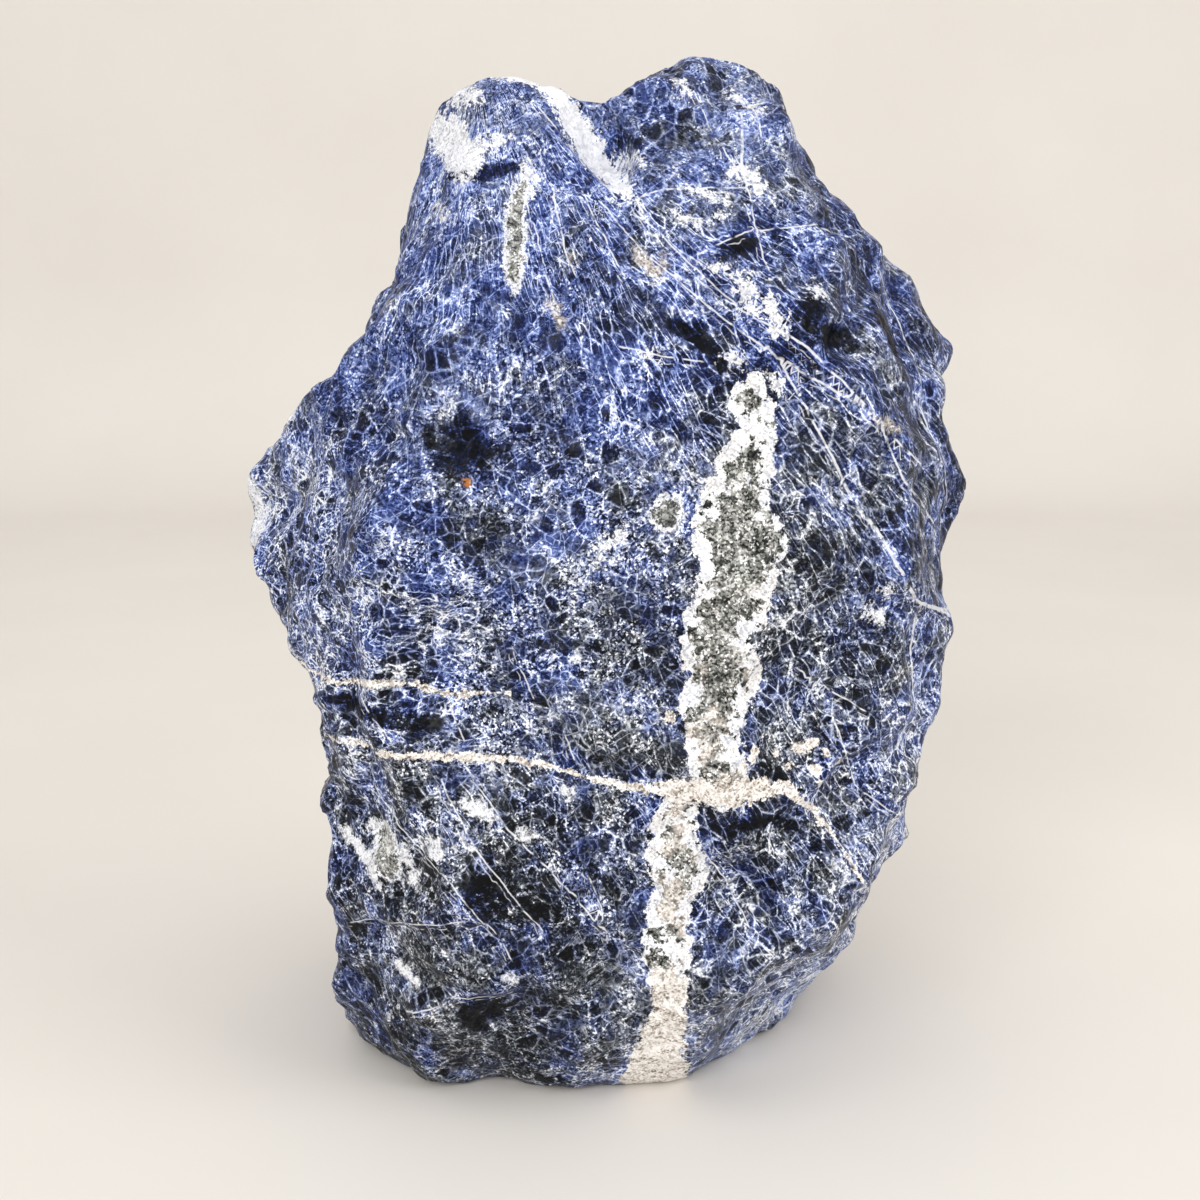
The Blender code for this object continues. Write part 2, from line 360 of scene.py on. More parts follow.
CREAM_VEINS = [
    [
        (-44.0, 56.5, 0.15),
        (-38.0, 57.0, 0.25),
        (-30.5, 57.5, 0.5),
        (-26.0, 57.5, 0.6),
        (-21.5, 57.5, 0.8),
        (-14.5, 57.0, 0.5),
        (-9.5, 56.0, 0.3),
        (-3.0, 54.5, 0.25),
        (3.0, 53.0, 0.4),
        (8.5, 52.5, 0.9),
        (12.0, 52.5, 2.0),
        (17.5, 53.0, 2.4),
        (22.0, 52.3, 1.9),
        (27.5, 52.0, 0.8),
        (32.0, 47.5, 0.4),
        (36.0, 42.5, 0.25),
        (40.0, 36.0, 0.15),
    ],
    [
        (-47.0, 66.5, 0.2),
        (-39.0, 66.0, 0.3),
        (-32.5, 68.0, 0.45),
        (-27.0, 67.8, 0.3),
        (-21.0, 66.5, 0.4),
        (-16.0, 66.5, 0.15),
    ],
]
CREAM_SPOTS = [
    (29.5, 57.5, 0.9),
    (31.8, 58.0, 0.9),
    (33.8, 56.5, 0.6),
    (36.0, 54.5, 0.6),
    (32.0, 54.0, 0.8),
    (32.6, 51.8, 0.8),
    (26.0, 57.0, 0.6),
    (28.0, 55.2, 0.6),
    (22.6, 58.0, 0.8),
    (21.0, 56.0, 0.9),
    (10.0, 63.5, 0.9),
]
FINE_VEINS = [
    [
        (24.0, 117.0, 0.1),
        (29.0, 109.0, 0.14),
        (33.5, 101.0, 0.14),
        (37.0, 94.0, 0.2),
        (41.0, 89.5, 0.2),
        (47.5, 78.5, 0.22),
    ],
    [(47.5, 78.5, 0.22), (52.0, 76.0, 0.3), (57.0, 73.0, 0.3)],
    [(41.0, 105.0, 0.1), (45.0, 96.5, 0.14), (48.0, 93.5, 0.14), (50.5, 90.0, 0.12), (54.0, 86.0, 0.1)],
    [
        (44.5, 128.5, 0.1),
        (49.0, 122.0, 0.14),
        (52.0, 113.0, 0.14),
        (52.0, 107.0, 0.14),
        (54.5, 99.0, 0.1),
        (57.5, 90.5, 0.1),
    ],
    [(47.0, 79.0, 0.14), (48.0, 74.5, 0.14), (47.5, 70.5, 0.14), (48.5, 63.5, 0.12), (46.0, 56.0, 0.1)],
    [(29.5, 69.5), (32.5, 67.0), (35.5, 65.0), (39.0, 63.0)],
    [(29.5, 69.5), (32.0, 66.0), (34.0, 63.0), (35.5, 60.0), (39.0, 50.0), (47.0, 44.0)],
    [(15.5, 42.5), (18.5, 38.0), (20.5, 34.0), (22.5, 30.5), (25.5, 27.0)],
    [(-36.0, 53.0), (-33.0, 49.0), (-27.5, 43.0), (-22.0, 39.0), (-17.5, 33.0), (-13.0, 26.5)],
    [(-23.0, 53.0), (-19.5, 45.5), (-14.0, 38.5), (-9.0, 32.0)],
    [(-18.5, 53.0), (-14.0, 47.5), (-6.5, 39.5), (0.5, 31.0)],
    [(-38.0, 28.0), (-29.0, 31.0), (-20.0, 33.0)],
    [(-29.5, 16.0), (-21.5, 19.5), (-14.0, 20.5)],
    [(-1.5, 39.0), (0.0, 35.0), (1.0, 30.0)],
    [(-21.5, 64.5), (-20.0, 60.5)],
    [(-12.5, 73.0), (-10.0, 66.5)],
    [(-5.0, 60.0), (-3.5, 55.5)],
    [(-35.0, 65.0), (-31.0, 60.0)],
    [(15.5, 153.0), (18.5, 144.0), (21.5, 140.0), (22.5, 133.0), (24.0, 128.0)],
    [(22.0, 151.0, 0.14), (21.5, 146.0, 0.18), (20.7, 141.2, 0.2)],
    [(25.0, 152.0, 0.16), (24.4, 147.5, 0.1)],
    [(14.5, 129.7), (21.0, 132.6), (31.5, 133.7), (38.0, 133.0)],
    [(3.0, 136.6), (9.0, 138.7), (21.5, 139.0)],
    [(-8.5, 150.5), (-2.4, 143.0), (2.0, 138.0)],
    [(-6.8, 138.0), (-5.3, 131.0), (-3.2, 125.5)],
    [(-9.4, 133.0), (-7.6, 125.7), (-6.1, 122.0)],
    [(-2.4, 138.0), (0.0, 133.0), (3.1, 127.0)],
    [(3.5, 116.5), (7.5, 115.5), (14.0, 114.5)],
    [
        (0.0, 137.0),
        (6.0, 130.0),
        (14.5, 123.0),
        (21.0, 118.0, 0.12),
        (29.0, 113.0, 0.16),
        (37.5, 108.0, 0.12),
        (50.0, 97.0),
    ],
    [(6.0, 135.0), (13.0, 128.0), (20.5, 121.5), (29.0, 117.0, 0.14), (36.0, 110.5, 0.14), (42.5, 104.0)],
]
SADDLE_VEIN = [
    (-16.0, 156.5, 0.6),
    (-11.5, 156.3, 1.1),
    (-8.5, 155.8, 1.5),
    (-5.6, 153.3, 1.9),
    (-3.4, 149.8, 2.4),
    (-1.0, 146.3, 2.6),
    (0.8, 142.8, 2.2),
    (2.7, 139.8, 1.4),
    (5.0, 137.0, 0.5),
]
WHITE_PATCHES = [
    [(-24.0, 150.8, 0.9), (-21.0, 151.6, 1.5), (-18.5, 152.3, 0.9)],
    [(-26.5, 145.0, 1.6), (-22.5, 145.3, 3.8), (-20.0, 143.3, 3.2), (-17.5, 145.0, 1.2), (-13.5, 146.5, 0.6)],
    [(-10.5, 141.5, 0.7), (-9.5, 139.0, 0.4)],
    [(13.0, 155.0, 0.8), (14.2, 154.0, 0.9)],
    [(19.8, 141.5, 0.9), (22.5, 140.5, 1.4), (23.0, 139.0, 0.8)],
    [(22.5, 154.0, 0.8), (25.5, 152.0, 1.0)],
    [(3.0, 144.2, 0.5), (6.0, 142.8, 0.7)],
    [(10.0, 141.0, 0.2), (13.7, 138.7, 0.3), (17.8, 137.0, 0.7)],
    [(10.4, 135.4, 0.2), (14.4, 133.8, 0.4), (18.5, 135.2, 0.3)],
    [(15.5, 127.8, 0.2), (17.8, 127.3, 0.4)],
    [(20.0, 126.0, 1.0), (21.0, 123.5, 1.2), (22.0, 121.5, 0.7)],
    [(24.0, 123.0, 0.8), (25.0, 120.5, 1.3), (25.5, 118.8, 0.8)],
    [(31.0, 124.5, 0.8), (32.0, 124.0, 0.6)],
    [(18.4, 115.5, 0.7), (19.4, 114.5, 0.8)],
    [(24.2, 112.5, 0.5), (25.4, 111.0, 0.9)],
    [(7.0, 115.7, 0.3), (8.2, 115.3, 0.4)],
    [(-24.2, 135.8, 0.5), (-22.8, 135.2, 0.8)],
    [(-0.2, 86.0, 0.5), (0.6, 88.2, 0.9)],
    [(2.6, 89.3, 0.7), (3.4, 90.4, 0.4)],
    [(40.2, 77.5, 0.8), (41.8, 76.8, 0.8)],
    [(42.3, 81.5, 0.5), (42.5, 80.0, 0.3)],
    [(-40.0, 42.0, 0.6), (-38.5, 40.5, 1.0), (-35.5, 38.8, 1.1)],
    [(-34.8, 44.0, 0.8), (-34.0, 42.0, 1.0)],
    [(-29.5, 43.0, 0.5), (-29.0, 40.0, 0.9), (-28.0, 37.0, 0.7)],
    [(-35.0, 38.0, 0.8), (-33.5, 36.0, 0.6), (-33.4, 34.5, 0.3)],
    [(-24.5, 44.5, 0.8), (-24.0, 42.8, 1.0)],
    [(-21.5, 44.2, 0.7), (-19.5, 44.0, 0.8)],
    [(-20.5, 50.5, 0.8), (-18.5, 49.8, 1.3), (-16.2, 48.2, 0.9)],
    [(-11.5, 46.5, 0.7), (-9.0, 45.3, 0.8)],
    [(-5.5, 52.8, 0.8), (-4.6, 52.2, 0.9)],
    [(-31.5, 22.8, 0.8), (-29.5, 21.8, 1.2), (-28.0, 21.0, 0.6)],
    [(-14.0, 24.2, 0.4), (-13.0, 23.4, 0.5)],
    [(-60.0, 92.0, 1.5), (-58.5, 88.0, 1.8), (-58.5, 83.0, 1.6)],
    [(-51.5, 104.0, 1.2), (-49.5, 105.5, 0.8)],
]
GREY_PATCHES = [
    [(9.5, 93.0, 2.6), (9.6, 93.1, 2.6)],
    [(-32.6, 43.0, 2.1), (-32.2, 38.8, 2.5)],
    [
        (-10.8, 143.5, 0.4),
        (-11.3, 140.0, 0.9),
        (-12.3, 136.5, 1.6),
        (-12.2, 132.0, 1.6),
        (-12.5, 128.0, 1.7),
        (-12.3, 124.0, 0.5),
    ],
]
TAN_PATCHES = [
    [(-7.0, 122.8, 0.7), (-6.3, 121.0, 1.0), (-5.8, 119.8, 0.7)],
    [(5.0, 130.0, 0.8), (6.5, 128.5, 1.0), (8.2, 126.5, 1.2)],
    [(8.8, 129.5, 0.5), (9.2, 127.5, 0.6)],
    [(-4.0, 129.0, 0.5), (-3.2, 128.2, 0.6)],
    [(40.5, 106.0, 0.5), (42.5, 105.0, 0.9), (44.0, 104.2, 0.6)],
]
RUST = [[(-19.3, 97.6, 0.55), (-18.9, 97.3, 0.55)]]
# Painted shadow: strokes (x, z, half width) under the ledges and in other shaded dips of the front.
SHADOWS = [
    [(-22.5, 140.8, 0.8), (-18.0, 141.0, 1.2), (-14.0, 141.8, 0.9), (-12.0, 142.2, 0.4)],
    [(3.5, 147.5, 0.5), (5.5, 146.0, 0.7)],
    [(17.0, 129.0, 0.8), (20.0, 131.0, 1.2), (22.0, 131.0, 0.8)],
    [(10.5, 119.5, 1.0), (14.5, 117.5, 1.3), (17.5, 113.5, 0.8)],
    [(30.0, 119.5, 1.2), (33.0, 118.0, 1.6), (37.0, 116.5, 1.2)],
    [(41.0, 122.0, 0.8), (45.0, 116.0, 1.4), (46.5, 111.5, 1.0)],
    [(-44.0, 63.0, 0.6), (-34.0, 63.5, 1.2), (-24.0, 62.5, 1.0)],
    [(-14.0, 102.0, 0.8), (-22.0, 101.5, 1.6), (-25.0, 104.5, 1.0)],
    [(20.0, 47.5, 0.7), (26.0, 47.0, 1.0), (30.0, 45.0, 0.5)],
]
# Painted shade: spheres (x, y, z, radius) in the stone's recesses, darkened and with fewer pale veins.
SHADED_HOLLOWS = [
    (-20.5, -30, 102.5, 5.0),
    (-16.3, -38, 37.0, 4.5),
    (-10.5, -38, 35.0, 2.5),
    (-18.0, -35, 16.8, 4.0),
    (-6.5, -37, 18.5, 2.0),
    (31.5, -27, 122.5, 3.0),
]
REGION_REACH = 20.0
REGIONS = {
    "blue": [
        (-12.0, 128.0, 0.72),
        (-38.0, 96.0, 0.62),
        (-28.0, 76.0, 0.5),
        (2.0, 104.0, 0.6),
        (4.0, 84.0, 0.42),
        (14.0, 150.0, 0.5),
        (36.0, 120.0, 0.58),
        (36.0, 92.0, 0.28),
        (38.0, 62.0, 0.14),
        (22.0, 45.0, 0.6),
        (28.0, 34.0, 0.02),
        (-24.0, 44.0, 0.2),
        (0.0, 44.0, 0.3),
        (-52.0, 18.0, 0.9),
        (-28.0, 12.0, 0.02),
        (0.0, 6.0, 0.3),
        (38.0, 10.0, 0.72),
        (56.0, 44.0, 0.7),
        (62.0, 78.0, 0.6),
    ],
    # Partly the rock's own tone, partly painted light and shade: lighter at the top and on the side rims,
    # darker low left.
    "light": [
        (-4.0, 150.0, 0.15),
        (-20.0, 134.0, 0.06),
        (16.0, 150.0, 0.1),
        (36.0, 120.0, -0.02),
        (0.0, 90.0, 0.04),
        (-50.0, 88.0, 0.03),
        (54.0, 108.0, 0.1),
        (50.0, 80.0, 0.02),
        (-25.0, 45.0, -0.04),
        (25.0, 40.0, -0.05),
        (-28.0, 26.0, -0.14),
        (-24.0, 7.0, -0.06),
        (0.0, 8.0, 0.0),
        (40.0, 10.0, 0.3),
        (58.0, 42.0, 0.18),
        (-54.0, 18.0, 0.16),
    ],
    "fan": [
        (-22.0, 136.0, 0.45),
        (-8.0, 134.0, 0.95),
        (18.0, 122.0, 1.0),
        (34.0, 110.0, 0.9),
        (-20.0, 112.0, 0.5),
        (-40.0, 96.0, 0.1),
        (46.0, 100.0, 0.8),
        (0.0, 88.0, 0.1),
        (-25.0, 70.0, 0.0),
        (32.0, 74.0, 0.2),
        (14.0, 148.0, 0.1),
        (-22.0, 46.0, 0.0),
        (30.0, 40.0, 0.0),
    ],
    "slant": [
        (-8.0, 130.0, 0.0),
        (34.0, 110.0, 0.3),
        (40.0, 84.0, 0.9),
        (40.0, 60.0, 1.0),
        (32.0, 40.0, 0.8),
        (-24.0, 44.0, 0.8),
        (0.0, 44.0, 0.5),
        (0.0, 86.0, 0.25),
        (-34.0, 74.0, 0.1),
        (-38.0, 98.0, 0.15),
        (0.0, 12.0, 0.3),
    ],
    "level": [
        (-44.0, 80.0, 0.8),
        (-34.0, 66.0, 1.0),
        (-10.0, 70.0, 0.5),
        (-14.0, 92.0, 0.2),
        (-20.0, 120.0, 0.0),
        (20.0, 110.0, 0.0),
        (-25.0, 20.0, 0.6),
        (0.0, 12.0, 0.6),
        (30.0, 20.0, 0.2),
        (36.0, 70.0, 0.0),
        (-10.0, 45.0, 0.1),
    ],
    "warm": [
        (20.0, 100.0, -0.4),
        (20.0, 85.0, -0.3),
        (17.0, 66.0, 0.3),
        (18.0, 54.0, 1.0),
        (11.0, 44.0, 0.1),
        (10.0, 32.0, 0.6),
    ],
    "brown": [
        (-50.0, 20.0, -0.4),
        (-29.0, 25.0, 0.9),
        (-26.0, 9.0, 0.4),
        (-8.0, 28.0, 0.3),
        (-6.0, 8.0, 0.1),
        (-24.0, 46.0, 0.0),
        (-30.0, 72.0, -0.3),
        (0.0, 60.0, -0.1),
        (0.0, 90.0, -0.1),
        (0.0, 120.0, -0.3),
        (36.0, 90.0, 0.15),
        (36.0, 60.0, 0.2),
        (34.0, 36.0, 0.1),
        (36.0, 12.0, -0.1),
    ],
    "calm": [
        (-30.0, 20.0, 0.8),
        (-6.0, 6.0, 0.4),
        (38.0, 10.0, 0.9),
        (28.0, 36.0, 0.6),
        (54.0, 42.0, 0.9),
        (58.0, 76.0, 0.9),
        (14.0, 148.0, 0.9),
        (-20.0, 130.0, 0.6),
        (0.0, 128.0, 0.3),
        (0.0, 90.0, 0.0),
        (35.0, 60.0, 0.1),
        (-25.0, 45.0, 0.0),
        (10.0, 40.0, 0.0),
    ],
}


def round_spots(places, spots):
    """The distance of each point from the nearest of these round spots, less its radius."""
    spots = np.array(spots, dtype=float)
    nearest = np.full(len(places), np.inf)
    for spot in spots:
        nearest = np.minimum(nearest, np.linalg.norm(places - spot[:3], axis=1) - spot[3])
    return nearest


def region(x, z, marks):
    """A finish at each place: the mean of the values marked on the front, each with the weight
    exp(-distance^2 / reach^2)."""
    marks = np.array(marks)
    away = (x[:, None] - marks[:, 0]) ** 2 + (z[:, None] - marks[:, 1]) ** 2
    weights = np.exp(-away / REGION_REACH**2) + 1e-6
    return weights @ marks[:, 2] / weights.sum(axis=1)


drift = eased(points[:, 1], *WANDER_SPREAD) * WANDER
sheet_x = points[:, 0] + drift * swell(points, WANDER_SIZE, 71)
sheet_z = points[:, 2] + drift * swell(points, WANDER_SIZE, 72)
veins = {}
LINES = {
    "band": [GREY_BAND, LOW_BAND],
    "calcite": [LOW_BAND[-CALCITE_POINTS:]],
    "saddle": [SADDLE_VEIN],
    "white": WHITE_PATCHES,
    "rings": GREY_PATCHES,
    "tan": TAN_PATCHES,
    "rust": RUST,
    "shadow": SHADOWS,
}
for name, lines in LINES.items():
    _, away, width = beside(sheet_x, sheet_z, lines)
    veins[name] = away - width
for name, lines in (("cream", CREAM_VEINS), ("fine", FINE_VEINS)):
    for ending, values in zip(("_side", "_away", "_width"), beside(sheet_x, sheet_z, lines), strict=True):
        veins[name + ending] = values
spots = [np.hypot(sheet_x - x, sheet_z - z) - radius for x, z, radius in CREAM_SPOTS]
veins["cream_spots"] = np.minimum.reduce(spots)
veins["hollow_shade"] = round_spots(points, SHADED_HOLLOWS)
for name, marks in REGIONS.items():
    veins[name] = region(sheet_x, sheet_z, marks)
for name, values in veins.items():
    layer = stone.data.attributes.new(name, "FLOAT", "POINT")
    layer.data.foreach_set("value", values.astype(np.float32))


# The stone's shader. Sodalite is a glassy dark blue mineral; the rock's veins are chalky white and cream. The
# distances that the skin stores get noise added, so that every vein has a ragged edge.
class Wire:
    """A socket of the shader. Arithmetic on it adds Math nodes."""

    tree = None

    def __init__(self, socket):
        self.socket = socket

    @classmethod
    def node(cls, kind, settings, values, output=0):
        """A new node of a kind: its settings first, then its sockets' values or links. Gives one output."""
        made = cls.tree.nodes.new(kind)
        for key, value in settings.items():
            setattr(made, key, value)
        for key, value in values.items():
            if isinstance(value, Wire):
                cls.tree.links.new(value.socket, made.inputs[key])
            else:
                made.inputs[key].default_value = value
        return cls(made.outputs[output])

    def maths(self, operation, *others):
        """A Math node on this value and the others."""
        return Wire.node("ShaderNodeMath", {"operation": operation}, dict(enumerate((self, *others))))

    def __add__(self, other):
        return self.maths("ADD", other)

    __radd__ = __add__

    def __sub__(self, other):
        return self.maths("SUBTRACT", other)

    def __rsub__(self, other):
        return Wire.node("ShaderNodeMath", {"operation": "SUBTRACT"}, {0: other, 1: self})

    def __mul__(self, other):
        return self.maths("MULTIPLY", other)

    __rmul__ = __mul__

    def __neg__(self):
        return self * -1.0

    def lower(self, other):
        return self.maths("MINIMUM", other)

    def higher(self, other):
        return self.maths("MAXIMUM", other)

    def size(self):
        return self.maths("ABSOLUTE")

    def above(self, low, high):
        """0 below low, 1 above high, smooth between."""
        settings = {"interpolation_type": "SMOOTHSTEP"}
        return Wire.node("ShaderNodeMapRange", settings, {"Value": self, "From Min": low, "From Max": high})

    def below(self, low, high):
        """1 below low, 0 above high, smooth between."""
        return 1.0 - self.above(low, high)


def vector(operation, first, second, output=0):
    """A Vector Math node on two vectors."""
    second_socket = "Scale" if operation == "SCALE" else 1
    values = {0: first, second_socket: second}
    return Wire.node("ShaderNodeVectorMath", {"operation": operation}, values, output)


def stored(name):
    """A value that the skin stores."""
    return Wire.node("ShaderNodeAttribute", {"attribute_name": name}, {}, "Fac")


def noise(where, size, detail=2.0, roughness=0.55):
    """Smooth noise from 0 to 1, with swells of that many millimetres."""
    values = {"Vector": where, "Scale": 1.0 / size, "Detail": detail, "Roughness": roughness}
    return Wire.node("ShaderNodeTexNoise", {}, values, 0)


def axis(where, name):
    """A vector's X, Y or Z."""
    return Wire.node("ShaderNodeSeparateXYZ", {}, {"Vector": where}, name)


def bent(where, size, reach, detail=1.0):
    """A place moved at random by up to that many millimetres either way."""
    push = Wire.node("ShaderNodeTexNoise", {}, {"Vector": where, "Scale": 1.0 / size, "Detail": detail}, 1)
    push = vector("SUBTRACT", push, (0.5, 0.5, 0.5))
    return vector("ADD", where, vector("SCALE", push, 2.0 * reach))


def to_edge(where, size):
    """The distance in millimetres to the nearest wall between cells of that size."""
    settings = {"feature": "DISTANCE_TO_EDGE"}
    return Wire.node("ShaderNodeTexVoronoi", settings, {"Vector": where, "Scale": 1.0 / size}) * size


def in_cell(where, size, output):
    """Of the cell of that size: its random colour, or the place of its middle in millimetres."""
    values = {"Vector": where, "Scale": 1.0 / size}
    return Wire.node("ShaderNodeTexVoronoi", {"feature": "F1"}, values, output)


def mixed(share, first, second):
    """A colour between two."""
    return Wire.node("ShaderNodeMix", {"data_type": "RGBA"}, {0: share, 6: first, 7: second}, 2)


def shade(*rgb):
    """A colour of the shader from sRGB numbers of 0 to 255."""
    linear = [c / 255 / 12.92 if c <= 10 else ((c / 255 + 0.055) / 1.055) ** 2.4 for c in rgb]
    return (*linear, 1.0)


def scale(*colours):
    """A scale of colours of the shader, from dark to pale."""
    return [shade(*rgb) for rgb in colours]


BLUES = scale((2, 4, 14), (18, 30, 78), (72, 90, 152), (152, 170, 224), (244, 248, 255))
GREYS = scale((4, 5, 7), (34, 38, 44), (92, 96, 103), (164, 168, 176), (247, 247, 250))
BROWNS = scale((8, 7, 6), (42, 40, 38), (98, 94, 89), (164, 157, 148), (244, 240, 234))
BANDS = scale((14, 15, 15), (66, 68, 65), (136, 136, 131), (198, 197, 192), (252, 251, 249))
TANS = scale((56, 50, 46), (118, 108, 99), (182, 171, 161), (230, 222, 213), (255, 252, 248))
RUST_COLOUR = shade(176, 112, 50)
CHALK = shade(246, 246, 250)
TONES = (0.0, 0.27, 0.5, 0.74, 1.0)


def toned(tone, colours):
    """The colour of a tone from 0 to 1 on a scale of five colours."""
    ramp = Wire.tree.nodes.new("ShaderNodeValToRGB")
    stops = ramp.color_ramp.elements
    stops[1].position = TONES[-1]
    for place in TONES[1:-1]:
        stops.new(place)
    for stop, colour in zip(stops, colours, strict=True):
        stop.color = colour
    Wire.tree.links.new(tone.socket, ramp.inputs[0])
    return Wire(ramp.outputs[0])


rock = bpy.data.materials.new("sodalite_rock")
rock.use_nodes = True
Wire.tree = rock.node_tree
surface = rock.node_tree.nodes["Principled BSDF"]
here = vector("SCALE", Wire.node("ShaderNodeTexCoord", {}, {}, "Object"), 1.0 / MM)
loose = bent(here, 7.0, 1.2, 2.0)
ragged = bent(loose, 1.4, 0.1, 1.0)

# The rock grew along three runs: a fan that opens from the saddle over the upper part, a slant down to the
# right, and level layers on the left. A place is told along a run, shortened, so that what is drawn there
# comes out as streaks.
FAN_X = -18.0
FAN_Z = 162.0
FAN_REACH = 60.0
FAN_STRETCH = 3.4
STRETCH = 2.6


def fanned(where, stretch):
    """A place as the turn about the fan's middle times FAN_REACH, the depth, and the way out from the middle
    over the stretch."""
    out = vector("SUBTRACT", where, (FAN_X, 0.0, FAN_Z))
    flat = vector("MULTIPLY", out, (1.0, 0.0, 1.0))
    turn = axis(out, "X").maths("ARCTAN2", -axis(out, "Z")) * FAN_REACH
    run = vector("LENGTH", flat, (0.0, 0.0, 0.0), "Value") * (1.0 / stretch)
    return Wire.node("ShaderNodeCombineXYZ", {}, {"X": turn, "Y": axis(out, "Y"), "Z": run}, 0)


def drawn_out(where, direction, stretch):
    """A place less most of its part along a direction."""
    run = Vector(direction).normalized()
    part = vector("DOT_PRODUCT", where, tuple(run), "Value") * (1.0 / stretch - 1.0)
    return vector("ADD", where, vector("SCALE", tuple(run), part))


def run_share(name, offset, low):
    """How far a run holds at each place: what the skin stores, made patchy by noise."""
    patch = (noise(vector("ADD", here, offset), 9.0, 1.0) - 0.5) * 0.9
    return (stored(name) + patch).above(low, 0.8)


fan_place = fanned(loose, FAN_STRETCH)
slant_place = drawn_out(loose, (0.5, 0.0, -0.87), STRETCH)
level_place = drawn_out(loose, (0.98, 0.0, -0.15), STRETCH)
fan = run_share("fan", (0.0, 0.0, 0.0), 0.15)
slant = run_share("slant", (40.0, 0.0, 0.0), 0.15)
level = run_share("level", (0.0, 40.0, 0.0), 0.2)
calm = stored("calm")
blue = stored("blue") + (noise(here, 8.0, 3.0, 0.6) - 0.5) * 1.7 + (noise(loose, 1.6, 1.0) - 0.5) * 0.8

# Its grain: crystals of 3 mm, some of them dark and glassy, crushed to chips and to crumbs a third of a
# millimetre wide, some of them bright, partly the rock's white specks and partly painted glints. Each run
# has crystals of its own, drawn out along it.
GRAIN = 2.7
CHIP = 0.75
CRUMB = 0.3
FAN_GRAIN = 1.5
SLANT_GRAIN = 1.7
LEVEL_GRAIN = 1.3
grain = in_cell(ragged, GRAIN, "Color")
grain_pick = axis(grain, "X")
chip = in_cell(ragged, CHIP, "Color")
crumb = in_cell(here, CRUMB, "Color")
crushed = noise(loose, 4.5, 3.0, 0.6).above(0.36, 0.62) * (1.0 - calm * 0.6) * (1.0 - fan * 0.4)
crumbs_and_glints = (axis(chip, "X") - 0.5) * 0.28 + (axis(crumb, "X") - 0.5) * 0.6
# Painted glints as well as white specks: the brightest chips and crumbs are lifted.
crumbs_and_glints = crumbs_and_glints + axis(chip, "Y").above(0.86, 0.9) * 0.12 + axis(crumb, "Y").above(0.86, 0.9) * 0.34
edge = to_edge(ragged, GRAIN)
fan_edge = to_edge(fan_place, FAN_GRAIN)
slant_edge = to_edge(slant_place, SLANT_GRAIN)
level_edge = to_edge(level_place, LEVEL_GRAIN)
fan_pick = axis(in_cell(fan_place, FAN_GRAIN, "Color"), "X")
slant_pick = axis(in_cell(slant_place, SLANT_GRAIN, "Color"), "X")
level_pick = axis(in_cell(level_place, LEVEL_GRAIN, "Color"), "X")

patchy = noise(here, 15.0, 2.0) - 0.5
broad = noise(loose, 4.5, 3.0, 0.6) - 0.5
veil = noise(vector("ADD", loose, (0.0, 0.0, 70.0)), 6.5, 4.0, 0.62).above(0.48, 0.68)
# The stored light region adds painted light and shade as well as the rock's own lighter and darker parts.
tone = 0.3 + stored("light") + patchy * 0.6 + broad * 0.5 + veil * 0.08 - fan * 0.05
tone = tone + (grain_pick - 0.5) * 0.14 + (fan_pick - 0.5) * fan * 0.26
tone = tone + (slant_pick - 0.5) * slant * 0.22 + (level_pick - 0.5) * level * 0.24
tone = tone + crumbs_and_glints * (0.3 + crushed * 0.75)
dark_eye = grain_pick.above(0.7, 0.75) * edge.above(0.15, 0.35) * (1.0 - fan * 0.7) * 0.26
fan_eye = fan_pick.above(0.68, 0.72) * fan_edge.above(0.06, 0.25) * fan * 0.26
slant_eye = slant_pick.above(0.68, 0.72) * slant_edge.above(0.06, 0.25) * slant * 0.24
level_eye = level_pick.above(0.7, 0.74) * level_edge.above(0.06, 0.25) * level * 0.24
tone = tone - dark_eye.higher(fan_eye).higher(slant_eye).higher(level_eye)

# Its cracks: pale seams between the crystals, and thin sheets that run through the stone in families, each
# family bent and seen only in parts.
SHEET = 0.06


def sheets(across, spacing):
    """Thin sheets about so far apart along a coordinate: 1 in a sheet, 0 beside it."""
    settings = {"feature": "DISTANCE_TO_EDGE", "voronoi_dimensions": "1D"}
    values = {"W": across * (1.0 / spacing), "Scale": 1.0}
    gap = Wire.node("ShaderNodeTexVoronoi", settings, values) * spacing
    return gap.below(SHEET - 0.04, SHEET + 0.07)


def family(normal, spacing, bend, seen_size, seen, offset):
    """Parallel sheets, bent by noise, where a patch of noise shows them."""
    moved = vector("ADD", bent(here, bend, bend * 0.2, 2.0), (offset, 0.0, 0.0))
    across = vector("DOT_PRODUCT", moved, tuple(Vector(normal).normalized()), "Value")
    patch = noise(vector("ADD", here, (0.0, offset, 0.0)), seen_size, 1.0, 0.6)
    return sheets(across, spacing) * patch.above(seen, seen + 0.08)


